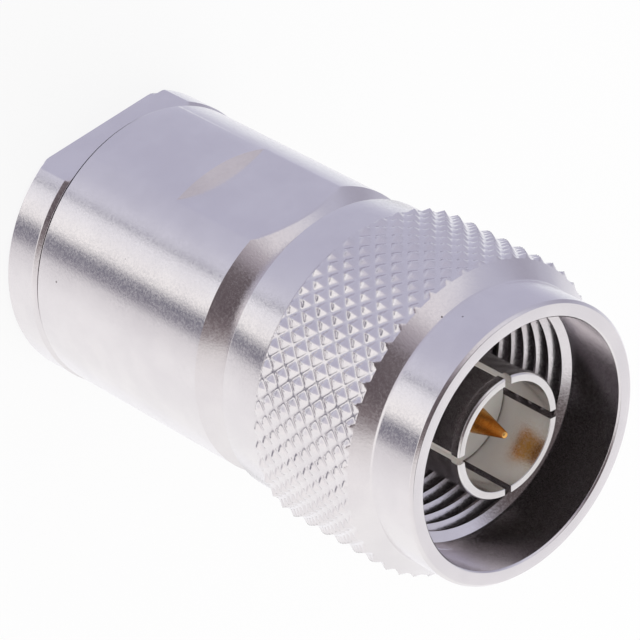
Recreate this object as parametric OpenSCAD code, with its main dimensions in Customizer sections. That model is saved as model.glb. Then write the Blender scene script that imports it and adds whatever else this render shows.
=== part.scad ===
// N type coaxial plug, clamp style, for cable about 10.3 mm over the jacket.
// The mating axis is +Z. The plug stands on the flat rear face of its clamp nut,
// with the centre of that face at the origin.

/* [Clamp nut] */
// Height of the flange above the surface of the body
flange_proud = 0.1; // [0:0.05:0.3]
// Length of the flange
flange_len = 2.95; // [2.4:0.05:5]
// Distance across the two flats of the flange
flange_af = 16.0; // [15:0.1:17.5]
// Angle of these flats against the flats of the body, at rest
flange_turn = 3; // [-45:1:45]
// Chamfer on the rear edge of the flange
flange_rear_edge = 0.4; // [0.1:0.05:0.8]
// Chamfer on the front edge of the flange
flange_front_edge = 0.25; // [0.1:0.05:0.6]
// Diameter over the thread that holds the nut in the body
clamp_thread_d = 15.9; // [15.6:0.1:16.2]
// Length of the threaded shank
shank_len = 6.6; // [5.6:0.1:7.2]
// Chamfer on the end of the shank
shank_edge = 0.5; // [0.2:0.1:0.8]
// Bore that the cable passes through
cable_bore_d = 10.9; // [10.4:0.1:11.5]
// Chamfer round both ends of the cable bore
cable_bore_edge = 0.4; // [0.1:0.05:0.8]

/* [Body shell] */
// Outside diameter of the body
body_d = 18.8; // [18.4:0.1:20]
// Length of the body behind its front taper
body_len = 14.9; // [14.2:0.1:18]
// Chamfer on the rear edge of the body
body_edge = 0.15; // [0.05:0.05:0.4]
// Distance across the two wrench flats
body_af = 17.4; // [17:0.1:18.2]
// Length of the wrench flats behind the taper
body_flat_len = 6.8; // [4:0.1:7.2]
// Diameter of the neck that the coupling nut turns on
neck_d = 14.4; // [14:0.1:14.6]
// Length of the neck, from the taper to the gasket seat
neck_len = 4.7; // [4.4:0.1:5.6]
// Depth of the thread bore for the clamp nut
thread_bore_len = 7.2; // [7:0.1:7.8]
// Diameter of the cavity for the cable clamp pieces
cavity_d = 14.8; // [14.4:0.1:15]
// Smallest diameter of the conical seat at the front of the cavity
seat_d = 10.8; // [10.4:0.1:12]
// Length of this conical seat
seat_len = 3.1; // [2.6:0.1:3.6]
// Thickness of the web between the cavity and the outer contact
web_t = 1.4; // [1:0.1:1.8]

/* [Coupling nut] */
// Diameter over the tips of the knurl
knurl_d = 20.6; // [20.2:0.1:22]
// Depth of the knurl grooves
knurl_depth = 0.28; // [0.2:0.01:0.5]
// Number of diamonds round the nut
knurl_count = 48; // [36:1:60]
// Number of half rows of diamonds along the nut
knurl_half_rows = 11; // [7:1:15]
// Length of the nut
nut_len = 15.8; // [15.4:0.1:18]
// Diameter of the smooth front collar
front_collar_d = 18.1; // [17.8:0.1:18.8]
// Length of the front collar
front_collar_len = 3.3; // [2.5:0.1:4]
// Diameter of the smooth rear collar
rear_collar_d = 19.1; // [18.4:0.1:19.3]
// Length of the rear collar
rear_collar_len = 2.95; // [2:0.05:4]
// Chamfer on the outer edge of the front face
rim_edge = 0.18; // [0.06:0.02:0.4]
// Chamfer on the edge of the rear face
rear_rim_edge = 0.08; // [0.04:0.02:0.2]
// Bore of the nut, over the roots of its thread
nut_bore_d = 16.0; // [15.9:0.05:16.4]
// Chamfer round the mouth of the bore
mouth_edge = 0.1; // [0.05:0.05:0.3]
// Distance of the inner flange behind the gasket seat
flange_setback = 0.3; // [0.2:0.1:0.6]

/* [Retaining ring] */
// Diameter of the ring, seated in the nut
ring_d = 15.2; // [15:0.1:15.4]
// Width of the ring from its bore to its rim
ring_w = 1.1; // [0.9:0.05:1.3]
// Thickness of the ring along the axis
ring_t = 0.9; // [0.6:0.05:1.1]
// Gap in the ring that lets it close up
ring_split = 1.6; // [1:0.1:3]
// Distance of the ring behind the gasket seat
ring_setback = 2.0; // [1.6:0.1:2.2]
// Depth of the neck groove below the ring, for closing it
ring_close = 0.5; // [0.4:0.05:0.6]

/* [Outer contact] */
// Diameter over the contact lip
contact_d = 8.08; // [8:0.02:8.2]
// Inside diameter of the contact
contact_id = 7.0; // [6.8:0.02:7.04]
// Reach of the contact beyond the gasket seat
contact_reach = 10.2; // [9.6:0.1:10.6]
// Length of the lip
lip_len = 0.6; // [0.3:0.1:1]
// Rounding of the lip, as a chamfer
lip_edge = 0.1; // [0.04:0.02:0.14]
// Depth of the relief behind the lip
relief_depth = 0.17; // [0.05:0.01:0.2]
// Length of the slots
slot_len = 6.0; // [4:0.1:7]
// Width of the slots
slot_w = 0.5; // [0.3:0.05:0.7]
// Angle of the first slot against the wrench flats
slot_turn = -7; // [-45:1:45]
// Diameter of the base that is pressed into the body
base_d = 9.5; // [9.3:0.1:9.8]
// Height of the base above the gasket seat
base_rise = 1.3; // [1.1:0.1:1.6]
// Thickness of the base in front of the insulator head
base_wall = 0.7; // [0.5:0.1:0.9]

/* [Centre contact] */
// Diameter of the pin
pin_d = 1.64; // [1.6:0.02:1.7]
// Diameter of the flat at the tip of the pin
pin_tip_d = 0.4; // [0.2:0.05:0.8]
// Length of the taper on the tip of the pin
pin_taper = 2.4; // [1:0.1:3]
// Distance of the tip behind the face of the outer contact
pin_recess = 0.2; // [0.1:0.05:0.6]
// Length of the root and the pin in front of the shoulder
pin_len = 5.1; // [4.8:0.1:5.4]
// Diameter of the root that the front insulator guides
root_d = 2.0; // [1.7:0.05:2.2]
// Diameter of the contact behind its shoulder
barrel_d = 3.04; // [2.9:0.02:3.4]
// Length of the solder cup that stands out of the rear insulator
tail_len = 1.9; // [1.5:0.1:2.1]
// Bore of the solder cup
cup_d = 2.4; // [2.3:0.05:2.5]
// Depth of the solder cup
cup_len = 5.5; // [4:0.1:6]
// Diameter of the hole in the side of the solder cup
cup_hole_d = 1.1; // [0.8:0.1:1.2]

/* [Insulators] */
// Distance of the front insulator behind the face of the outer contact
insulator_recess = 3.9; // [3.4:0.1:4.4]
// Length of the head of the front insulator
head_len = 2.6; // [2:0.1:3]
// Diameter of the head and of the rear insulator
insulator_d = 8.2; // [8:0.05:8.3]
// Length of the rear insulator
rear_insulator_len = 3.6; // [3.2:0.1:3.8]

/* [Cable clamp pieces] */
// Thickness of the thrust washer
washer_t = 0.8; // [0.6:0.05:1]
// Bore of the thrust washer
washer_bore_d = 11.3; // [10.8:0.1:11.8]
// Bore of the cable gasket
gasket_bore_d = 10.4; // [10:0.1:10.8]
// Depth of the V groove in the cable gasket
groove_depth = 0.8; // [0.6:0.05:1]
// Thickness of the rim of the braid clamp
clamp_rim_t = 1.2; // [1:0.05:1.4]
// Bore of the braid clamp
clamp_bore_d = 8.6; // [8.4:0.1:9]
// Length of the cone of the braid clamp
clamp_cone_len = 2.8; // [2.4:0.1:3]
// Space round the cone for the folded cable braid
braid_gap = 0.5; // [0.45:0.05:0.7]

/* [Front gasket] */
// Thickness of the gasket that the mating shell presses on
gasket_t = 1.2; // [0.8:0.1:1.4]

/* [Fits and clearances] */
// Gap between the flange of the clamp nut and the body
seam_gap = 0.15; // [0.1:0.05:0.3]
// Gap between the end of the taper and the coupling nut
nut_gap = 0.4; // [0.3:0.05:0.5]
// Radial clearance of the coupling nut on the neck
run_gap = 0.08; // [0.04:0.01:0.1]
// Radial clearance of the clamp nut in its thread bore
thread_gap = 0.05; // [0.03:0.01:0.1]
// Clearance round loose pieces
loose_gap = 0.15; // [0.1:0.05:0.2]
// Radial clearance of pieces that are pushed in by hand
slip_gap = 0.02; // [0.01:0.01:0.04]

/* [Hidden] */
$fn = 96;

// How far cutting solids run past the faces that they cut
over = 1;
// Ledge round each end face of the knurled band, where a collar enters it
ledge = 0.06;
// Play of the braid clamp behind the start of the conical seat
rim_play = 0.3;
// Distance of the web behind the root of the neck
web_setback = 0.2;

// Heights along the axis, from the rear face of the clamp nut
shank_z = flange_len + shank_len;
washer_z = shank_z + washer_t;
body_z = flange_len + seam_gap;
taper_z = body_z + body_len;
neck_z = taper_z + (body_d - neck_d) / 2;
seat_z = neck_z + neck_len;
web_z = neck_z - web_setback;
cavity_z = web_z - web_t;
clamp_z = cavity_z - seat_len - rim_play;
seal_z = clamp_z - clamp_rim_t;
ring_z = seat_z - ring_setback - ring_t;
nut_z = neck_z + nut_gap;
nut_front_z = nut_z + nut_len;
contact_z = seat_z + contact_reach;
shoulder_z = contact_z - pin_recess - pin_len;
insulator_z = contact_z - insulator_recess;
base_z = seat_z + base_rise;
head_z = base_z - base_wall;
split_z = head_z - head_len;
rear_insulator_z = split_z - rear_insulator_len;

// Radii that more than one piece shares
body_r = body_d / 2;
neck_r = neck_d / 2;
cavity_r = cavity_d / 2;
base_r = base_d / 2;
contact_r = contact_d / 2;
contact_bore_r = contact_id / 2;
insulator_r = insulator_d / 2;
root_r = root_d / 2;
barrel_r = barrel_d / 2;
loose_r = cavity_r - loose_gap;
gasket_bore_r = gasket_bore_d / 2;
groove_r = (loose_r + gasket_bore_r) / 2;
ring_r = ring_d / 2;
ring_bore_r = ring_r - ring_w;

// A solid of revolution from a profile of [radius, height] points
module turned(profile) {
    rotate_extrude() polygon(profile);
}

// A tube between two heights
module sleeve(outer_r, inner_r, z0, z1) {
    turned([[inner_r, z0], [outer_r, z0], [outer_r, z1], [inner_r, z1]]);
}

// Cuts for two opposite flats, from z0 to z1, in a solid of radius r
module flats(af, r, z0, z1) {
    for (side = [0, 180])
        rotate([0, 0, side])
            translate([af / 2, -r - over, z0]) cube([r, 2 * (r + over), z1 - z0]);
}

module clamp_nut() {
    flange_r = body_r + flange_proud;
    shank_r = clamp_thread_d / 2;
    bore_r = cable_bore_d / 2;
    color("silver")
    difference() {
        union() {
            difference() {
                turned([
                    [0, 0], [flange_r - flange_rear_edge, 0], [flange_r, flange_rear_edge],
                    [flange_r, flange_len - flange_front_edge],
                    [flange_r - flange_front_edge, flange_len], [0, flange_len]
                ]);
                rotate([0, 0, flange_turn]) flats(flange_af, flange_r, -over, flange_len + over);
            }
            turned([
                [0, over], [shank_r, over], [shank_r, shank_z - shank_edge],
                [shank_r - shank_edge, shank_z], [0, shank_z]
            ]);
        }
        turned([
            [0, -over], [bore_r + cable_bore_edge + over, -over], [bore_r, cable_bore_edge],
            [bore_r, shank_z - cable_bore_edge],
            [bore_r + cable_bore_edge + over, shank_z + over], [0, shank_z + over]
        ]);
    }
}

module thrust_washer() {
    color("goldenrod") sleeve(loose_r, washer_bore_d / 2, shank_z, washer_z);
}

// The V groove takes the ridge of the braid clamp
module cable_gasket() {
    color("dimgray")
    turned([
        [gasket_bore_r, washer_z], [loose_r, washer_z], [loose_r, seal_z],
        [groove_r + groove_depth, seal_z], [groove_r, seal_z - groove_depth],
        [groove_r - groove_depth, seal_z], [gasket_bore_r, seal_z]
    ]);
}

module braid_clamp() {
    bore_r = clamp_bore_d / 2;
    ridge = groove_depth - loose_gap;
    slope = (cavity_d - seat_d) / 2 / seat_len;
    cone_r = seat_d / 2 - braid_gap + (cavity_z - clamp_z) * slope;
    color("darkkhaki")
    turned([
        [bore_r, seal_z], [groove_r - ridge, seal_z], [groove_r, seal_z - ridge],
        [groove_r + ridge, seal_z], [loose_r, seal_z], [loose_r, clamp_z],
        [cone_r, clamp_z], [cone_r - clamp_cone_len * slope, clamp_z + clamp_cone_len],
        [bore_r, clamp_z + clamp_cone_len]
    ]);
}

module body_shell() {
    thread_bore_r = clamp_thread_d / 2 + thread_gap;
    thread_bore_z = body_z + thread_bore_len;
    color("silver")
    difference() {
        turned([
            [thread_bore_r, body_z], [body_r - body_edge, body_z],
            [body_r, body_z + body_edge], [body_r, taper_z], [neck_r, neck_z],
            [neck_r, ring_z], [ring_bore_r - ring_close, ring_z],
            [ring_bore_r - ring_close, ring_z + ring_t + loose_gap],
            [neck_r, ring_z + ring_t + loose_gap], [neck_r, seat_z], [base_r, seat_z],
            [base_r, web_z], [insulator_r, web_z], [insulator_r, cavity_z],
            [seat_d / 2, cavity_z], [cavity_r, cavity_z - seat_len],
            [cavity_r, thread_bore_z], [thread_bore_r, thread_bore_z]
        ]);
        flats(body_af, body_r, taper_z - body_flat_len, neck_z);
    }
}

// A split ring that lies in the groove of the neck and reaches into the nut
module retaining_ring() {
    color("peru")
    difference() {
        sleeve(ring_r, ring_bore_r, ring_z, ring_z + ring_t);
        translate([0, -ring_split / 2, ring_z - over])
            cube([ring_r + over, ring_split, ring_t + 2 * over]);
    }
}

// Height of the surface of the front and rear cones of the nut at a radius
function front_cone_z(r) = nut_front_z - front_collar_len - (r - front_collar_d / 2);
function rear_cone_z(r) = nut_z + rear_collar_len + (r - rear_collar_d / 2);

// One ring of the knurl: its tips and groove crossings take turns, and each row
// is set half a diamond round from the last. The end rows lie on the cones.
function knurl_row(row, tip_r, root_r) = [
    for (k = [0 : 2 * knurl_count - 1])
        let (
            r = (k + row) % 2 == 0 ? tip_r : root_r,
            low = rear_cone_z(tip_r),
            pitch = (front_cone_z(tip_r) - low) / knurl_half_rows,
            z = row == 0 ? rear_cone_z(r)
              : row == knurl_half_rows ? front_cone_z(r)
              : low + row * pitch
        )
        round_point(r, k, z)
];
function round_point(r, k, z) =
    [r * cos(k * 180 / knurl_count), r * sin(k * 180 / knurl_count), z];
function plain_row(r, z) = [for (k = [0 : 2 * knurl_count - 1]) round_point(r, k, z)];

// The band of pointed diamonds left by two families of crossing V grooves
module knurled_band() {
    tip_r = knurl_d / 2;
    root_r = tip_r - knurl_depth;
    rear_r = rear_collar_d / 2 + ledge;
    front_r = root_r - ledge;
    around = 2 * knurl_count;
    last = knurl_half_rows + 2;
    points = concat(
        plain_row(rear_r, rear_cone_z(rear_r)),
        [for (row = [0 : knurl_half_rows]) each knurl_row(row, tip_r, root_r)],
        plain_row(front_r, front_cone_z(front_r))
    );
    // Each square between two rows is split along the groove that crosses it
    sides = [
        for (row = [0 : last - 1], k = [0 : around - 1])
            let (
                a = row * around + k,
                b = row * around + (k + 1) % around,
                c = b + around,
                d = a + around
            )
            each ((k + row) % 2 == 0 ? [[a, c, b], [a, d, c]] : [[a, d, b], [b, d, c]])
    ];
    ends = [
        [for (k = [0 : around - 1]) k],
        [for (k = [around - 1 : -1 : 0]) last * around + k]
    ];
    polyhedron(points = points, faces = concat(sides, ends), convexity = 4);
}

module coupling_nut() {
    front_r = front_collar_d / 2;
    rear_r = rear_collar_d / 2;
    cone_r = knurl_d / 2 - knurl_depth - 2 * ledge;
    hole_r = neck_r + run_gap;
    bore_r = nut_bore_d / 2;
    ring_seat_r = ring_r + loose_gap;
    flange_z = seat_z - flange_setback;
    color("lightgray")
    difference() {
        union() {
            turned([
                [0, nut_z], [rear_r - rear_rim_edge, nut_z], [rear_r, nut_z + rear_rim_edge],
                [rear_r, front_cone_z(cone_r) - over], [cone_r, front_cone_z(cone_r) - over],
                [cone_r, front_cone_z(cone_r)], [front_r, front_cone_z(front_r)],
                [front_r, nut_front_z - rim_edge], [front_r - rim_edge, nut_front_z],
                [0, nut_front_z]
            ]);
            knurled_band();
        }
        turned([
            [0, nut_z - over], [hole_r, nut_z - over], [hole_r, ring_z - loose_gap],
            [ring_seat_r, ring_z - loose_gap], [ring_seat_r, ring_z + ring_t + loose_gap],
            [hole_r, ring_z + ring_t + loose_gap], [hole_r, flange_z], [bore_r, flange_z],
            [bore_r, nut_front_z - mouth_edge],
            [bore_r + mouth_edge + over, nut_front_z + over], [0, nut_front_z + over]
        ]);
    }
}

module front_gasket() {
    color("firebrick")
        sleeve(neck_r, base_r + slip_gap, seat_z, seat_z + gasket_t);
}

// Four spring fingers on a base that is pressed into the body
module outer_contact() {
    relief_r = contact_r - relief_depth;
    color("gainsboro")
    difference() {
        turned([
            [insulator_r, web_z], [base_r, web_z], [base_r, base_z], [relief_r, base_z],
            [relief_r, contact_z - lip_len - relief_depth], [contact_r, contact_z - lip_len],
            [contact_r, contact_z - lip_edge], [contact_r - lip_edge, contact_z],
            [contact_bore_r, contact_z], [contact_bore_r, head_z], [insulator_r, head_z]
        ]);
        for (side = [0, 90])
            rotate([0, 0, slot_turn + side])
                translate([-contact_r - over, -slot_w / 2, contact_z - slot_len])
                    cube([2 * (contact_r + over), slot_w, slot_len + over]);
    }
}

// Its inner shoulder keeps the centre contact from being pushed forward
module front_insulator() {
    color("white")
    turned([
        [barrel_r, split_z], [insulator_r - slip_gap, split_z],
        [insulator_r - slip_gap, head_z], [contact_bore_r - slip_gap, head_z],
        [contact_bore_r - slip_gap, insulator_z], [root_r + slip_gap, insulator_z],
        [root_r + slip_gap, shoulder_z], [barrel_r, shoulder_z]
    ]);
}

module rear_insulator() {
    color("ivory")
        sleeve(insulator_r - slip_gap, barrel_r, rear_insulator_z, split_z);
}

module centre_contact() {
    tip_z = contact_z - pin_recess;
    tail_z = rear_insulator_z - tail_len;
    pin_r = pin_d / 2;
    cup_r = cup_d / 2;
    color("gold")
    difference() {
        turned([
            [cup_r, tail_z], [barrel_r - slip_gap, tail_z], [barrel_r - slip_gap, shoulder_z],
            [root_r, shoulder_z], [root_r, insulator_z], [pin_r, insulator_z],
            [pin_r, tip_z - pin_taper], [pin_tip_d / 2, tip_z], [0, tip_z],
            [0, tail_z + cup_len], [cup_r, tail_z + cup_len]
        ]);
        translate([0, 0, tail_z + cup_len - cup_hole_d])
            rotate([0, 90, 0]) cylinder(d = cup_hole_d, h = barrel_r + over);
    }
}

clamp_nut();
thrust_washer();
cable_gasket();
braid_clamp();
body_shell();
retaining_ring();
coupling_nut();
front_gasket();
outer_contact();
front_insulator();
rear_insulator();
centre_contact();
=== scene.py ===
"""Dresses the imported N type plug: finer meshes, plated and moulded finishes, studio and camera."""
import math

import bmesh
import bpy
from mathutils import Matrix, Vector


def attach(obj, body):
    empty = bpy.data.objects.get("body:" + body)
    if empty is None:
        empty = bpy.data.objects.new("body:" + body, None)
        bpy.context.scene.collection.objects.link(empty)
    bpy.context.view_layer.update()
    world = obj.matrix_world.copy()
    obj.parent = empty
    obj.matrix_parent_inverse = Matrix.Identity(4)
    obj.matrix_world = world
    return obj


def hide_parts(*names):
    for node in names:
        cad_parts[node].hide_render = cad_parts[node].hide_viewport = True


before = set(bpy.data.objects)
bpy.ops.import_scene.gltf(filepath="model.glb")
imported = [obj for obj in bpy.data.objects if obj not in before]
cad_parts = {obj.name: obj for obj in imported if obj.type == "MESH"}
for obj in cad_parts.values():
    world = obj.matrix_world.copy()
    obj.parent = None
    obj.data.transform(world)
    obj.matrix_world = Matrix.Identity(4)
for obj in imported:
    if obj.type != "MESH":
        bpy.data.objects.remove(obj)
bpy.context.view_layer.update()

MM = 0.001
TURN = 2 * math.pi

# ---------------------------------------------------------------- sizes, in mm

# Clamp nut
FLANGE_R = 9.5
FLANGE_LEN = 2.95
FLANGE_FLAT = 8.0
FLANGE_TURN = math.radians(3)
SHANK_R = 7.95
SHANK_ROOT_R = 7.42
SHANK_Z = 9.55
CABLE_BORE_R = 5.45
CABLE_BORE_CHAMFER = 0.4
SHANK_PITCH = 1.0
SHANK_THREAD_Z = (4.0, 8.95)

# Body shell
BODY_R = 9.4
BODY_Z = 3.1
BODY_FLAT = 8.7
FLAT_Z = 11.2
TAPER_Z = 18.0
NECK_R = 7.2
NECK_Z = 20.2
SEAT_Z = 24.9
THREAD_BORE_R = 8.0
THREAD_BORE_Z = 10.3
CAVITY_R = 7.4
CAVITY_CONE_Z = 15.5
CLAMP_SEAT_R = 5.4
CLAMP_SEAT_Z = 18.6
RING_GROOVE_R = 6.0
RING_GROOVE_Z = (22.0, 23.05)
TAPER_STEP = 0.055
TAPER_ROWS = 40

# Coupling nut
NUT_Z = 20.6
NUT_FRONT_Z = 36.4
REAR_COLLAR_R = 9.55
REAR_CONE_Z = 23.55
FRONT_COLLAR_R = 9.05
FRONT_CONE_Z = 33.1
KNURL_TIP_R = 10.3
KNURL_DEPTH = 0.28
KNURL_GROOVE = 0.3
KNURL_CREST = 0.16
KNURL_ROUND = 48
KNURL_HALF_ROWS = 11
KNURL_STEPS = 6
NUT_BORE_R = 8.0
NUT_HOLE_R = 7.28
NUT_FLANGE_Z = 24.6
RING_SEAT_R = 7.75
RING_SEAT_Z = (21.85, 23.05)
NUT_THREAD_R = 7.42
NUT_PITCH = 1.058
NUT_THREAD_Z = (25.9, 32.7)
LEAD_R = 7.95
LEAD_Z = 32.75
LEAD_SLOPE = 0.62

# Outer contact
CONTACT_R = 4.04
CONTACT_BORE_R = 3.5
CONTACT_WAIST_R = 3.87
CONTACT_LIP_Z = (34.33, 34.5)
CONTACT_Z = 35.1
BASE_R = 4.75
BASE_Z = 20.0
BASE_FRONT_Z = 26.2
BASE_BORE_R = 4.1
BASE_BORE_Z = 25.5
SLOT_W = 0.5
SLOT_LEN = 6.0
SLOT_TURN = math.radians(-7)

# Centre contact
PIN_Z = 34.9
PIN_TIP_R = 0.2
PIN_TAPER_Z = 32.5
PIN_R = 0.82
PIN_NECK_R = 1.0
PIN_STEM_R = 1.5
PIN_STEM_Z = 29.8
CUP_R = 1.2
CUP_Z = (17.4, 22.9)
CUP_HOLE_Z = 22.35

# Front insulator and gasket
INSULATOR_Z = 31.2
FIT_GAP = 0.02
GASKET_Z = 26.1


# ---------------------------------------------------------------- mesh helpers

def rounded(profile, steps=3):
    """A closed loop of (radius, height, fillet) corners as (radius, height) points."""
    points = []
    count = len(profile)
    for i, (r, z, fillet) in enumerate(profile):
        if fillet == 0:
            points.append((r, z))
            continue
        here = Vector((r, z))
        back = (Vector(profile[i - 1][:2]) - here).normalized()
        ahead = (Vector(profile[(i + 1) % count][:2]) - here).normalized()
        half = back.angle(ahead) / 2
        centre = here + (back + ahead).normalized() * fillet / math.sin(half)
        start = here + back * fillet / math.tan(half) - centre
        end = here + ahead * fillet / math.tan(half) - centre
        first = math.atan2(start.y, start.x)
        sweep = (math.atan2(end.y, end.x) - first + math.pi) % TURN - math.pi
        for k in range(steps + 1):
            angle = first + sweep * k / steps
            x = centre.x + fillet * math.cos(angle)
            y = centre.y + fillet * math.sin(angle)
            points.append((x, y))
    return points


def even_angles(count):
    return [TURN * k / count for k in range(count)]


def as_object(name, verts, faces, sharp=35):
    """Makes an object in metres from points in millimetres, with its normals outwards."""
    mesh = bpy.data.meshes.new(name)
    mesh.from_pydata([(x * MM, y * MM, z * MM) for x, y, z in verts], [], faces)
    bm = bmesh.new()
    bm.from_mesh(mesh)
    bmesh.ops.remove_doubles(bm, verts=bm.verts, dist=0.0004 * MM)
    bmesh.ops.recalc_face_normals(bm, faces=bm.faces)
    bm.to_mesh(mesh)
    bm.free()
    obj = bpy.data.objects.new(name, mesh)
    bpy.context.scene.collection.objects.link(obj)
    shade(obj, sharp)
    return obj


def shade(obj, sharp=35):
    """Smooth faces, with an edge where they meet at more than the sharp angle."""
    obj.data.shade_smooth()
    obj.data.set_sharp_from_angle(angle=math.radians(sharp))
    weighted = obj.modifiers.new("weighted", "WEIGHTED_NORMAL")
    weighted.keep_sharp = True


def revolve(profile, angles, shape=None, split=None):
    """Points and faces of a closed profile carried round the axis. shape moves a point."""
    rows = len(profile)
    verts = []
    for angle in angles:
        for r, z in profile:
            if shape:
                r, z = shape(r, z, angle)
            verts.append((r * math.cos(angle), r * math.sin(angle), z))
    faces = []
    for i in range(len(angles)):
        j = (i + 1) % len(angles)
        for k in range(rows):
            m = (k + 1) % rows
            a, b, c, d = i * rows + k, j * rows + k, j * rows + m, i * rows + m
            way = split(i, k) if split else 0
            if way == 0:
                faces.append((a, b, c, d))
            elif way > 0:
                faces += [(a, b, c), (a, c, d)]
            else:
                faces += [(a, b, d), (b, c, d)]
    return verts, faces


def helix_ridge(root_r, crest_r, crest_w, pitch, z0, z1, sunk=0.05, per_turn=72, lead=None):
    """A thread as one ridge wound round the axis, its foot sunk in the wall it stands on."""
    inward = crest_r < root_r
    sign = 1 if inward else -1
    slope = math.tan(math.radians(30))
    stations = int(per_turn * (z1 - z0) / pitch)
    fade = per_turn / 3
    verts = []
    for s in range(stations + 1):
        angle = TURN * s / per_turn
        z = z0 + (z1 - z0) * s / stations
        grown = min(1.0, s / fade, (stations - s) / fade)
        top = root_r + (crest_r - root_r) * max(grown, 0.02)
        if lead:
            top = max(top, lead(z)) if inward else min(top, lead(z))
        foot = root_r + sign * sunk
        top_w = crest_w / 2 + abs(top - crest_r) * slope
        foot_w = crest_w / 2 + abs(foot - crest_r) * slope
        if top_w > foot_w - 0.02:
            top_w = foot_w - 0.02
        ring = [(foot, -foot_w), (top, -top_w), (top, top_w), (foot, foot_w)]
        for r, dz in ring:
            verts.append((r * math.cos(angle), r * math.sin(angle), z + dz))
    faces = [(0, 1, 2, 3), tuple(stations * 4 + k for k in (3, 2, 1, 0))]
    for s in range(stations):
        for k in range(4):
            m = (k + 1) % 4
            faces.append((s * 4 + k, s * 4 + m, s * 4 + 4 + m, s * 4 + 4 + k))
    return verts, faces


def joined(*meshes):
    verts, faces = [], []
    for more_verts, more_faces in meshes:
        start = len(verts)
        verts += more_verts
        faces += [tuple(v + start for v in face) for face in more_faces]
    return verts, faces


def block(size, centre, turn=0.0):
    """A cutting block, in millimetres, turned about the axis."""
    bm = bmesh.new()
    bmesh.ops.create_cube(bm, size=1)
    place = Matrix.Rotation(turn, 4, "Z") @ Matrix.Translation(Vector(centre) * MM)
    bm.transform(place @ Matrix.Diagonal(Vector(size) * MM).to_4x4())
    mesh = bpy.data.meshes.new("block")
    bm.to_mesh(mesh)
    bm.free()
    obj = bpy.data.objects.new("block", mesh)
    bpy.context.scene.collection.objects.link(obj)
    return obj


def cut(obj, blocks):
    """Takes the blocks out of the object, then removes them."""
    for tool in blocks:
        change = obj.modifiers.new("cut", "BOOLEAN")
        change.operation = "DIFFERENCE"
        change.solver = "EXACT"
        change.object = tool
    for change in [m for m in obj.modifiers if m.type != "BOOLEAN"]:
        obj.modifiers.remove(change)
    bpy.context.view_layer.update()
    done = bpy.data.meshes.new_from_object(obj.evaluated_get(bpy.context.evaluated_depsgraph_get()))
    obj.modifiers.clear()
    obj.data = done
    for tool in blocks:
        bpy.data.objects.remove(tool)


EDGE_OFFSETS = (0.002, 0.004, 0.007, 0.012)


def flat_edges(flat, radius, turn=0.0):
    """Directions of the four edges of a pair of opposite flats."""
    half = math.acos(flat / radius)
    return [turn + side for side in (half, -half, math.pi - half, math.pi + half)]


def finer_near(angles, centres, offsets):
    """More columns at the edges of the flats."""
    more = [c + side * o for c in centres for o in offsets for side in (-1, 1)] + list(centres)
    return sorted(set(round(a % TURN, 7) for a in list(angles) + more))


def soft_min(a, b, blend):
    """The smaller of two values, with the corner between them rounded."""
    gap = max(blend - abs(a - b), 0.0) / blend
    return min(a, b) - gap * gap * blend / 4


def flat_radius(flat, angle):
    """Radius at which a pair of opposite flats cuts this direction."""
    return flat / max(abs(math.cos(angle)), 0.3)


# ---------------------------------------------------------------- coupling nut

KNURL_ROOT_R = KNURL_TIP_R - KNURL_DEPTH
LOW_TIP_Z = REAR_CONE_Z + KNURL_TIP_R - REAR_COLLAR_R
HIGH_TIP_Z = FRONT_CONE_Z - KNURL_TIP_R + FRONT_COLLAR_R
HALF_ROW = (HIGH_TIP_Z - LOW_TIP_Z) / KNURL_HALF_ROWS
LOW_ROOT_Z = REAR_CONE_Z + KNURL_ROOT_R - REAR_COLLAR_R
HIGH_ROOT_Z = FRONT_CONE_Z - KNURL_ROOT_R + FRONT_COLLAR_R


def groove(t):
    """1 on even numbers, lowest on odd ones: a groove's straight sides and round bottom."""
    side = abs(t % 2 - 1)
    if side > KNURL_GROOVE:
        return side
    return (side * side / KNURL_GROOVE + KNURL_GROOVE) / 2


def knurled(r, z, angle):
    """The diamonds of the band, cut off by the cones at both of its ends."""
    if r < KNURL_ROOT_R + 0.001:
        return r, z
    u = angle / TURN * 2 * KNURL_ROUND
    v = (z - LOW_TIP_Z) / HALF_ROW
    height = soft_min(groove(u + v), groove(u - v), KNURL_CREST)
    lowest = KNURL_GROOVE / 2
    highest = 1 - KNURL_CREST / 4
    height = max((height - lowest) / (highest - lowest), 0.01)
    r = KNURL_ROOT_R + KNURL_DEPTH * height
    r = min(r, REAR_COLLAR_R + z - REAR_CONE_Z, FRONT_COLLAR_R + FRONT_CONE_Z - z)
    return r, z


knurl_zs = [LOW_ROOT_Z + 0.002]
below = int((LOW_TIP_Z - LOW_ROOT_Z) / HALF_ROW * KNURL_STEPS * 2)
knurl_zs += [LOW_TIP_Z - HALF_ROW * k / KNURL_STEPS / 2 for k in range(below, 0, -1)]
knurl_zs += [LOW_TIP_Z + HALF_ROW * k / KNURL_STEPS for k in range(KNURL_HALF_ROWS * KNURL_STEPS + 1)]
knurl_zs += [HIGH_TIP_Z + HALF_ROW * k / KNURL_STEPS / 2 for k in range(1, below + 1)]
knurl_zs += [HIGH_ROOT_Z - 0.002]

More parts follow.
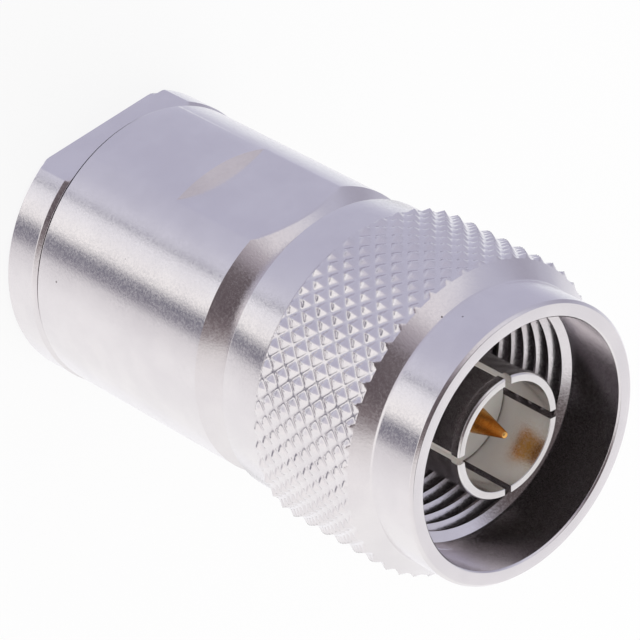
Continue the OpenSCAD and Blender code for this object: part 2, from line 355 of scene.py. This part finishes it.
nut_loop = [
    (NUT_HOLE_R, NUT_Z, 0.06),
    (REAR_COLLAR_R, NUT_Z, 0.09),
    (REAR_COLLAR_R, REAR_CONE_Z, 0.05),
    (KNURL_ROOT_R, LOW_ROOT_Z, 0),
    (KNURL_ROOT_R, HIGH_ROOT_Z, 0),
    (FRONT_COLLAR_R, FRONT_CONE_Z, 0.3),
    (FRONT_COLLAR_R, NUT_FRONT_Z - 0.18, 0.06),
    (FRONT_COLLAR_R - 0.18, NUT_FRONT_Z, 0.06),
    (NUT_BORE_R + 0.1, NUT_FRONT_Z, 0.05),
    (NUT_BORE_R, NUT_FRONT_Z - 0.1, 0.05),
    (NUT_BORE_R, NUT_FLANGE_Z, 0.1),
    (NUT_HOLE_R, NUT_FLANGE_Z, 0.05),
    (NUT_HOLE_R, RING_SEAT_Z[1], 0),
    (RING_SEAT_R, RING_SEAT_Z[1], 0),
    (RING_SEAT_R, RING_SEAT_Z[0], 0),
    (NUT_HOLE_R, RING_SEAT_Z[0], 0),
]
nut_profile = []
for point in rounded(nut_loop):
    nut_profile.append(point)
    if point == (KNURL_ROOT_R, LOW_ROOT_Z):
        first_row = len(nut_profile)
        nut_profile += [(KNURL_TIP_R, z) for z in knurl_zs]
        last_row = len(nut_profile) - 1
row_of = [(z - LOW_TIP_Z) / HALF_ROW for r, z in nut_profile]


def knurl_split(i, k):
    """Triangles run along the grooves of the diamonds."""
    if not first_row <= k < last_row:
        return 0
    square = math.floor((i + 0.5) / KNURL_STEPS) + math.floor((row_of[k] + row_of[k + 1]) / 2)
    return -1 if square % 2 == 0 else 1


nut = as_object(
    "coupling_nut_shell",
    *revolve(nut_profile, even_angles(2 * KNURL_ROUND * KNURL_STEPS), knurled, knurl_split),
    sharp=50,
)


def nut_lead(z):
    """The lead-in cone that opens the front of the thread."""
    return LEAD_R - max(0.0, LEAD_Z - z) * LEAD_SLOPE


nut_thread = as_object(
    "coupling_nut_thread",
    *helix_ridge(NUT_BORE_R, NUT_THREAD_R, 0.16, NUT_PITCH, *NUT_THREAD_Z, per_turn=96, lead=nut_lead),
    sharp=25,
)

# ---------------------------------------------------------------- body shell


def body_shape(r, z, angle):
    """The two wrench flats, which run out through the taper."""
    if FLAT_Z <= z <= NECK_Z and r > CAVITY_R + 0.1:
        return soft_min(r, flat_radius(BODY_FLAT, angle), 0.05), z
    return r, z


# More rows where the flats begin and all along the taper
outside = [(BODY_R, FLAT_Z + d) for d in (-0.001, 0, 0.03, 0.08, 0.2, 1.8, 3.8, 5.8, 6.6)]
outside += [(BODY_R - TAPER_STEP * k, TAPER_Z + TAPER_STEP * k) for k in range(TAPER_ROWS)]
body_loop = [
    (THREAD_BORE_R, BODY_Z, 0.12),
    (BODY_R, BODY_Z, 0.14),
    (BODY_R, FLAT_Z - 0.1, 0),
    (NECK_R, NECK_Z, 0.05),
    (NECK_R, RING_GROOVE_Z[0], 0),
    (RING_GROOVE_R, RING_GROOVE_Z[0], 0),
    (RING_GROOVE_R, RING_GROOVE_Z[1], 0),
    (NECK_R, RING_GROOVE_Z[1], 0),
    (NECK_R, SEAT_Z, 0.05),
    (BASE_R, SEAT_Z, 0),
    (BASE_R, BASE_Z, 0),
    (BASE_BORE_R, BASE_Z, 0),
    (BASE_BORE_R, CLAMP_SEAT_Z, 0),
    (CLAMP_SEAT_R, CLAMP_SEAT_Z, 0),
    (CAVITY_R, CAVITY_CONE_Z, 0),
    (CAVITY_R, THREAD_BORE_Z, 0),
    (THREAD_BORE_R, THREAD_BORE_Z, 0),
]
body_profile = []
for point in rounded(body_loop):
    body_profile.append(point)
    if point == (BODY_R, FLAT_Z - 0.1):
        body_profile += outside
body_angles = finer_near(even_angles(240), flat_edges(BODY_FLAT, BODY_R), EDGE_OFFSETS)
body = as_object("body_shell_turned", *revolve(body_profile, body_angles, body_shape), sharp=40)

# ---------------------------------------------------------------- clamp nut


def flange_shape(r, z, angle):
    """The two flats of the flange, a little turned against those of the body."""
    if z <= FLANGE_LEN and r > SHANK_R:
        return soft_min(r, flat_radius(FLANGE_FLAT, angle - FLANGE_TURN), 0.06), z
    return r, z


clamp_loop = [
    (CABLE_BORE_R + CABLE_BORE_CHAMFER, 0, 0.08),
    (FLANGE_R - 0.4, 0, 0.1),
    (FLANGE_R, 0.4, 0.12),
    (FLANGE_R, FLANGE_LEN - 0.25, 0.08),
    (FLANGE_R - 0.25, FLANGE_LEN, 0.05),
    (SHANK_R + 0.02, FLANGE_LEN, 0),
    (SHANK_ROOT_R, FLANGE_LEN, 0),
    (SHANK_ROOT_R, SHANK_Z - 0.1, 0),
    (SHANK_ROOT_R - 0.1, SHANK_Z, 0.05),
    (CABLE_BORE_R + CABLE_BORE_CHAMFER, SHANK_Z, 0.08),
    (CABLE_BORE_R, SHANK_Z - CABLE_BORE_CHAMFER, 0.1),
    (CABLE_BORE_R, CABLE_BORE_CHAMFER, 0.1),
]
flange_edges = flat_edges(FLANGE_FLAT, FLANGE_R, FLANGE_TURN)
clamp_angles = finer_near(even_angles(240), flange_edges, EDGE_OFFSETS)
clamp = as_object(
    "clamp_nut_turned",
    *joined(
        revolve(rounded(clamp_loop), clamp_angles, flange_shape),
        helix_ridge(SHANK_ROOT_R, SHANK_R, 0.12, SHANK_PITCH, *SHANK_THREAD_Z, per_turn=96),
    ),
    sharp=40,
)

# ---------------------------------------------------------------- outer contact

contact_loop = [
    (BASE_BORE_R, BASE_Z, 0),
    (BASE_R, BASE_Z, 0),
    (BASE_R, BASE_FRONT_Z, 0.1),
    (CONTACT_WAIST_R, BASE_FRONT_Z, 0.05),
    (CONTACT_WAIST_R, CONTACT_LIP_Z[0], 0.1),
    (CONTACT_R, CONTACT_LIP_Z[1], 0.1),
    (CONTACT_R, CONTACT_Z - 0.1, 0.06),
    (CONTACT_R - 0.1, CONTACT_Z, 0.06),
    (CONTACT_BORE_R, CONTACT_Z, 0.05),
    (CONTACT_BORE_R, BASE_BORE_Z, 0),
    (BASE_BORE_R, BASE_BORE_Z, 0),
]
contact = as_object("outer_contact_turned", *revolve(rounded(contact_loop), even_angles(144)))
slot_size = (2 * CONTACT_R + 2, SLOT_W, SLOT_LEN + 1)
slot_centre = (0, 0, CONTACT_Z - SLOT_LEN / 2 + 0.5)
cut(contact, [block(slot_size, slot_centre, SLOT_TURN + side) for side in (0, math.pi / 2)])
shade(contact)

# ---------------------------------------------------------------- centre contact

pin_loop = [
    (CUP_R, CUP_Z[0], 0.03),
    (PIN_STEM_R, CUP_Z[0], 0.05),
    (PIN_STEM_R, PIN_STEM_Z, 0.05),
    (PIN_NECK_R, PIN_STEM_Z, 0),
    (PIN_NECK_R, INSULATOR_Z, 0.08),
    (PIN_R, INSULATOR_Z, 0),
    (PIN_R, PIN_TAPER_Z, 0.9),
    (PIN_TIP_R, PIN_Z, 0.12),
    (0.0, PIN_Z, 0),
    (0.0, CUP_Z[1], 0),
    (CUP_R, CUP_Z[1], 0),
]
pin = as_object("centre_contact_turned", *revolve(rounded(pin_loop, 5), even_angles(96)))
cut(pin, [block((4, 1.0, 1.0), (2, 0, CUP_HOLE_Z))])
shade(pin)

# ---------------------------------------------------------------- insulator and gasket

insulator_loop = [
    (PIN_STEM_R + FIT_GAP, CUP_Z[1], 0),
    (BASE_BORE_R - FIT_GAP, CUP_Z[1], 0.08),
    (BASE_BORE_R - FIT_GAP, BASE_BORE_Z, 0.08),
    (CONTACT_BORE_R - FIT_GAP, BASE_BORE_Z, 0),
    (CONTACT_BORE_R - FIT_GAP, INSULATOR_Z, 0.12),
    (PIN_NECK_R + FIT_GAP, INSULATOR_Z, 0.08),
    (PIN_NECK_R + FIT_GAP, PIN_STEM_Z, 0),
    (PIN_STEM_R + FIT_GAP, PIN_STEM_Z, 0),
]
insulator = as_object("front_insulator_turned", *revolve(rounded(insulator_loop), even_angles(96)))

gasket_loop = [
    (BASE_R + FIT_GAP, SEAT_Z, 0.05),
    (NECK_R, SEAT_Z, 0.05),
    (NECK_R, GASKET_Z, 0.2),
    (BASE_R + FIT_GAP, GASKET_Z, 0.15),
]
gasket = as_object("front_gasket_moulded", *revolve(rounded(gasket_loop), even_angles(96)))

# ---------------------------------------------------------------- materials


class Shader:
    """A material's nodes, added one after another."""

    def __init__(self, name):
        self.material = bpy.data.materials.new(name)
        self.material.use_nodes = True
        self.tree = self.material.node_tree
        self.surface = self.tree.nodes["Principled BSDF"]
        self.place = self.add("ShaderNodeTexCoord").outputs["Object"]

    def add(self, kind, **settings):
        node = self.tree.nodes.new(kind)
        for key, value in settings.items():
            setattr(node, key, value)
        return node

    def link(self, source, target):
        self.tree.links.new(source, target)

    def math(self, operation, a, b=0.0, c=0.0):
        node = self.add("ShaderNodeMath", operation=operation)
        for socket, value in zip(node.inputs, (a, b, c)):
            if isinstance(value, (int, float)):
                socket.default_value = value
            else:
                self.link(value, socket)
        return node.outputs[0]

    def noise(self, size, detail=2.0, rough=0.5, place=None):
        """Noise with features of about this size, in millimetres."""
        node = self.add("ShaderNodeTexNoise")
        node.inputs["Scale"].default_value = 1 / (size * MM)
        node.inputs["Detail"].default_value = detail
        node.inputs["Roughness"].default_value = rough
        self.link(place or self.place, node.inputs["Vector"])
        return node.outputs["Fac"]

    def spread(self, value, low, high, to_low, to_high):
        """Maps a value from one range to another, smoothly."""
        node = self.add("ShaderNodeMapRange", interpolation_type="SMOOTHSTEP")
        self.link(value, node.inputs["Value"])
        ends = {"From Min": low, "From Max": high, "To Min": to_low, "To Max": to_high}
        for key, number in ends.items():
            node.inputs[key].default_value = number
        return node.outputs["Result"]

    def mix(self, factor, a, b):
        node = self.add("ShaderNodeMix", data_type="RGBA")
        self.link(factor, node.inputs["Factor"])
        for socket, value in ((node.inputs["A"], a), (node.inputs["B"], b)):
            if isinstance(value, tuple):
                socket.default_value = (*value, 1)
            else:
                self.link(value, socket)
        return node.outputs["Result"]

    def polar(self):
        """Radius and height of the point, for marks that run round the axis."""
        parts = self.add("ShaderNodeSeparateXYZ")
        self.link(self.place, parts.inputs[0])
        x, y, z = parts.outputs
        squares = self.math("ADD", self.math("MULTIPLY", x, x), self.math("MULTIPLY", y, y))
        radius = self.math("SQRT", squares)
        both = self.add("ShaderNodeCombineXYZ")
        self.link(radius, both.inputs[0])
        self.link(z, both.inputs[1])
        return both.outputs[0]

    def bump(self, layers):
        """Bumps of (height, depth in mm), one over the other."""
        last = None
        for height, depth in layers:
            node = self.add("ShaderNodeBump")
            node.inputs["Strength"].default_value = 1.0
            node.inputs["Distance"].default_value = depth * MM
            self.link(height, node.inputs["Height"])
            if last:
                self.link(last, node.inputs["Normal"])
            last = node.outputs["Normal"]
        self.link(last, self.surface.inputs["Normal"])


def plated(name, light, dark, rough=(0.14, 0.26), grain=0.004, lines=0.0015, specks=0.5):
    """Satin plating: fine grain, faint turning lines, a slow change of tone, sparse dark specks."""
    s = Shader(name)
    s.surface.inputs["Metallic"].default_value = 1.0
    cloud = s.noise(2.6, 3)
    tone = s.mix(s.spread(cloud, 0.3, 0.7, 0, 1), light, dark)
    dots = s.add("ShaderNodeTexVoronoi")
    dots.inputs["Scale"].default_value = 1 / (1.5 * MM)
    s.link(s.place, dots.inputs["Vector"])
    red = s.add("ShaderNodeSeparateColor")
    s.link(dots.outputs["Color"], red.inputs[0])
    chosen = s.math("GREATER_THAN", red.outputs[0], 1 - 0.25 * specks)
    near = s.spread(dots.outputs["Distance"], 0.02, 0.06, 1, 0)
    speck = s.math("MULTIPLY", chosen, near)
    colour = s.mix(speck, tone, (0.12, 0.1, 0.1))
    s.link(colour, s.surface.inputs["Base Color"])
    fine = s.noise(0.14, 2)
    s.link(s.spread(fine, 0.3, 0.7, *rough), s.surface.inputs["Roughness"])
    turned = s.noise(0.05, 2, place=s.polar())
    s.bump([(fine, grain), (turned, lines)])
    return s.material


def gold(name):
    """Bright gold over brass, with fine lines round the pin."""
    s = Shader(name)
    s.surface.inputs["Metallic"].default_value = 1.0
    cloud = s.noise(0.8, 2)
    colour = s.mix(s.spread(cloud, 0.3, 0.7, 0, 1), (0.87, 0.5, 0.16), (0.72, 0.36, 0.09))
    s.link(colour, s.surface.inputs["Base Color"])
    fine = s.noise(0.1, 2)
    s.link(s.spread(fine, 0.3, 0.7, 0.14, 0.24), s.surface.inputs["Roughness"])
    s.bump([(fine, 0.002), (s.noise(0.04, 1, place=s.polar()), 0.002)])
    return s.material


def plastic(name, light, dark):
    """Turned PTFE: waxy, with faint tool marks."""
    s = Shader(name)
    colour = s.mix(s.spread(s.noise(1.5, 3), 0.3, 0.7, 0, 1), light, dark)
    s.link(colour, s.surface.inputs["Base Color"])
    s.link(s.spread(s.noise(0.2, 2), 0.3, 0.7, 0.38, 0.55), s.surface.inputs["Roughness"])
    s.surface.inputs["Subsurface Weight"].default_value = 0.15
    s.surface.inputs["Subsurface Scale"].default_value = 0.4 * MM
    s.bump([(s.noise(0.08, 1, place=s.polar()), 0.003)])
    return s.material


def rubber(name, light, dark):
    """Moulded rubber with a fine matt grain."""
    s = Shader(name)
    colour = s.mix(s.spread(s.noise(1.0, 3), 0.3, 0.7, 0, 1), light, dark)
    s.link(colour, s.surface.inputs["Base Color"])
    s.link(s.spread(s.noise(0.15, 2), 0.3, 0.7, 0.5, 0.72), s.surface.inputs["Roughness"])
    s.bump([(s.noise(0.1, 3), 0.006)])
    return s.material


nickel = plated("nickel_plate", (0.82, 0.79, 0.8), (0.78, 0.75, 0.765))
contact_plate = plated("contact_plate", (0.8, 0.78, 0.77), (0.74, 0.71, 0.7), specks=0.2)
brass_plate = plated("brass_plate", (0.74, 0.72, 0.7), (0.66, 0.63, 0.6))
bronze = plated("spring_bronze", (0.7, 0.46, 0.28), (0.6, 0.38, 0.22), specks=0.2)
pin_gold = gold("pin_gold")
ptfe = plastic("ptfe", (0.82, 0.8, 0.76), (0.76, 0.73, 0.68))
# The front gasket is very dark brown. This is partly its own dark rubber and partly painted shade for the
# deep bore it sits in.
gasket_rubber_and_shade = rubber("silicone_rubber_and_bore_shade", (0.05, 0.035, 0.03), (0.035, 0.026, 0.024))
black_rubber = rubber("cable_rubber", (0.04, 0.04, 0.042), (0.06, 0.058, 0.058))

# ---------------------------------------------------------------- what each piece stands for

dressed = [
    (nut, "coupling_nut", "coupling_nut", nickel),
    (nut_thread, None, "coupling_nut", nickel),
    (body, "body_shell", "connector_body", nickel),
    (clamp, "clamp_nut", "clamp_nut", nickel),
    (contact, "outer_contact", "connector_body", contact_plate),
    (pin, "centre_contact", "connector_body", pin_gold),
    (insulator, "front_insulator", "connector_body", ptfe),
    (gasket, "front_gasket", "connector_body", gasket_rubber_and_shade),
]
for obj, node, rides_on, material in dressed:
    obj.data.materials.clear()
    obj.data.materials.append(material)
    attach(obj, rides_on)
    if node:
        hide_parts(node)

for node, material in (
    ("thrust_washer", brass_plate),
    ("cable_gasket", black_rubber),
    ("braid_clamp", brass_plate),
    ("retaining_ring", bronze),
    ("rear_insulator", ptfe),
):
    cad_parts[node].data.materials.clear()
    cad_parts[node].data.materials.append(material)

# ---------------------------------------------------------------- studio

# Tone of the studio by azimuth in degrees: below the horizon, at it, and well above it
LOW_RING = [
    (-180, (1.04, 1.04, 1.06)),
    (-125, (1.02, 1.02, 1.05)),
    (-105, (0.87, 0.89, 0.95)),
    (-88, (0.6, 0.6, 0.73)),
    (-80, (0.56, 0.56, 0.69)),
    (-10, (0.56, 0.56, 0.69)),
    (15, (0.6, 0.6, 0.72)),
    (34, (0.74, 0.74, 0.84)),
    (38, (0.3, 0.3, 0.36)),
    (43, (0.95, 0.95, 1.0)),
    (66, (1.1, 1.08, 1.06)),
    (73, (0.2, 0.2, 0.25)),
    (83, (0.25, 0.24, 0.29)),
    (93, (0.85, 0.83, 0.85)),
    (120, (1.0, 0.99, 1.0)),
    (180, (1.04, 1.04, 1.04)),
]
MIDDLE_RING = [
    (-180, (1.0, 1.0, 1.0)),
    (-125, (0.98, 0.98, 1.0)),
    (-108, (0.78, 0.78, 0.84)),
    (-95, (0.56, 0.56, 0.66)),
    (-80, (0.42, 0.41, 0.5)),
    (-60, (0.54, 0.54, 0.66)),
    (20, (0.56, 0.55, 0.67)),
    (40, (0.7, 0.68, 0.76)),
    (60, (1.05, 1.03, 1.03)),
    (180, (1.0, 1.0, 1.0)),
]
HIGH_RING = [
    (-180, (0.94, 0.93, 0.94)),
    (-115, (0.88, 0.87, 0.9)),
    (-90, (0.6, 0.6, 0.7)),
    (-62, (0.62, 0.62, 0.74)),
    (-40, (0.82, 0.81, 0.86)),
    (-12, (0.84, 0.81, 0.84)),
    (12, (0.4, 0.36, 0.4)),
    (28, (0.14, 0.115, 0.125)),
    (62, (0.12, 0.095, 0.105)),
    (80, (0.22, 0.18, 0.19)),
    (98, (0.85, 0.82, 0.82)),
    (120, (0.96, 0.94, 0.95)),
    (180, (0.94, 0.93, 0.94)),
]
CEILING = (0.1, 0.08, 0.08)

world = bpy.data.worlds.new("studio")
bpy.context.scene.world = world
world.use_nodes = True
tree = world.node_tree
tree.nodes.clear()


def world_node(kind, **settings):
    node = tree.nodes.new(kind)
    for key, value in settings.items():
        setattr(node, key, value)
    return node


def world_ring(stops, position):
    ramp = world_node("ShaderNodeValToRGB")
    ramp.color_ramp.interpolation = "EASE"
    elements = ramp.color_ramp.elements
    elements[0].color = (*stops[0][1], 1)
    elements[1].color = (*stops[-1][1], 1)
    for azimuth, colour in stops[1:-1]:
        elements.new((azimuth + 180) / 360).color = (*colour, 1)
    tree.links.new(position, ramp.inputs[0])
    return ramp.outputs[0]


heading = world_node("ShaderNodeTexCoord")
parts = world_node("ShaderNodeSeparateXYZ")
tree.links.new(heading.outputs["Generated"], parts.inputs[0])
azimuth = world_node("ShaderNodeMath", operation="ARCTAN2")
tree.links.new(parts.outputs[1], azimuth.inputs[0])
tree.links.new(parts.outputs[0], azimuth.inputs[1])
position = world_node("ShaderNodeMath", operation="MULTIPLY_ADD")
position.inputs[1].default_value = 1 / TURN
position.inputs[2].default_value = 0.5
tree.links.new(azimuth.outputs[0], position.inputs[0])


def world_blend(low_z, high_z, below, above):
    """Blends two colours by the height of the direction, from low_z to high_z."""
    height = world_node("ShaderNodeMapRange", interpolation_type="SMOOTHSTEP")
    height.inputs["From Min"].default_value = low_z
    height.inputs["From Max"].default_value = high_z
    tree.links.new(parts.outputs[2], height.inputs["Value"])
    rings = world_node("ShaderNodeMix", data_type="RGBA")
    tree.links.new(height.outputs[0], rings.inputs["Factor"])
    for socket, value in ((rings.inputs["A"], below), (rings.inputs["B"], above)):
        if isinstance(value, tuple):
            socket.default_value = (*value, 1)
        else:
            tree.links.new(value, socket)
    return rings.outputs["Result"]


low, middle, high = (world_ring(ring, position.outputs[0]) for ring in (LOW_RING, MIDDLE_RING, HIGH_RING))
rings = world_blend(-0.5, -0.05, low, middle)
rings = world_blend(0.4, 0.6, rings, high)
rings = world_blend(0.8, 0.92, rings, CEILING)

paths = world_node("ShaderNodeLightPath")
studio = world_node("ShaderNodeBackground")
tree.links.new(rings, studio.inputs["Color"])
fill = world_node("ShaderNodeBackground")
fill.inputs["Color"].default_value = (1, 0.99, 0.98, 1)
fill.inputs["Strength"].default_value = 0.8
white = world_node("ShaderNodeBackground")
seen = world_node("ShaderNodeMath", operation="MAXIMUM")
tree.links.new(paths.outputs["Is Camera Ray"], seen.inputs[0])
tree.links.new(paths.outputs["Is Transmission Ray"], seen.inputs[1])
first_mix = world_node("ShaderNodeMixShader")
tree.links.new(paths.outputs["Is Glossy Ray"], first_mix.inputs[0])
tree.links.new(fill.outputs[0], first_mix.inputs[1])
tree.links.new(studio.outputs[0], first_mix.inputs[2])
second_mix = world_node("ShaderNodeMixShader")
tree.links.new(seen.outputs[0], second_mix.inputs[0])
tree.links.new(first_mix.outputs[0], second_mix.inputs[1])
tree.links.new(white.outputs[0], second_mix.inputs[2])
out = world_node("ShaderNodeOutputWorld")
tree.links.new(second_mix.outputs[0], out.inputs[0])

# The floor is white to the camera and keeps a soft shadow
FLOOR_HALF = 1.5
floor_mesh = bpy.data.meshes.new("floor")
corners = [(x * FLOOR_HALF, y * FLOOR_HALF, 0) for x, y in ((-1, -1), (1, -1), (1, 1), (-1, 1))]
floor_mesh.from_pydata(corners, [], [(0, 1, 2, 3)])
floor = bpy.data.objects.new("floor", floor_mesh)
bpy.context.scene.collection.objects.link(floor)
paper = bpy.data.materials.new("paper")
paper.use_nodes = True
paper_nodes = paper.node_tree.nodes
paper_links = paper.node_tree.links
paper_nodes.clear()
diffuse = paper_nodes.new("ShaderNodeBsdfDiffuse")
diffuse.inputs["Color"].default_value = (0.92, 0.92, 0.93, 1)
glow = paper_nodes.new("ShaderNodeEmission")
glow.inputs["Color"].default_value = (1, 1, 1, 1)
glow.inputs["Strength"].default_value = 1.0
path = paper_nodes.new("ShaderNodeLightPath")
seen_path = paper_nodes.new("ShaderNodeMath")
seen_path.operation = "MAXIMUM"
paper_links.new(path.outputs["Is Camera Ray"], seen_path.inputs[0])
paper_links.new(path.outputs["Is Transmission Ray"], seen_path.inputs[1])
share = paper_nodes.new("ShaderNodeMath")
share.operation = "MULTIPLY"
share.inputs[1].default_value = 0.86
paper_links.new(seen_path.outputs[0], share.inputs[0])
blend = paper_nodes.new("ShaderNodeMixShader")
paper_links.new(share.outputs[0], blend.inputs[0])
paper_links.new(diffuse.outputs[0], blend.inputs[1])
paper_links.new(glow.outputs[0], blend.inputs[2])
paper_out = paper_nodes.new("ShaderNodeOutputMaterial")
paper_links.new(blend.outputs[0], paper_out.inputs[0])
floor_mesh.materials.append(paper)
floor.visible_glossy = False

lamp_data = bpy.data.lights.new("soft_box", "AREA")
lamp_data.shape = "DISK"
lamp_data.size = 0.35
lamp_data.energy = 0.55
lamp = bpy.data.objects.new("soft_box", lamp_data)
bpy.context.scene.collection.objects.link(lamp)
lamp.visible_glossy = False
lamp.location = (-0.25, -0.12, 0.35)
middle_of_part = Vector((0, 0, 0.018))
lamp.rotation_euler = (middle_of_part - lamp.location).to_track_quat("-Z", "Y").to_euler()

# ---------------------------------------------------------------- camera

# Place in mm, and the directions that run away from the camera and to the right of its frame
CAMERA_PLACE = (155.34, 138.89, 194.48)
forward = Vector((-0.56553, -0.51378, -0.64514)).normalized()
right = Vector((-0.10661, -0.73014, 0.67493)).normalized()
up = right.cross(forward)
camera_data = bpy.data.cameras.new("camera")
camera_data.sensor_width = 36
camera_data.lens = 252.2
camera_data.shift_x = -0.016
camera_data.shift_y = -0.0149
camera_data.clip_start = 0.01
camera = bpy.data.objects.new("camera", camera_data)
bpy.context.scene.collection.objects.link(camera)
turn = Matrix((right, up, -forward)).transposed().to_4x4()
camera.matrix_world = Matrix.Translation(Vector(CAMERA_PLACE) * MM) @ turn
bpy.context.scene.camera = camera
bpy.context.scene.view_settings.view_transform = "Standard"
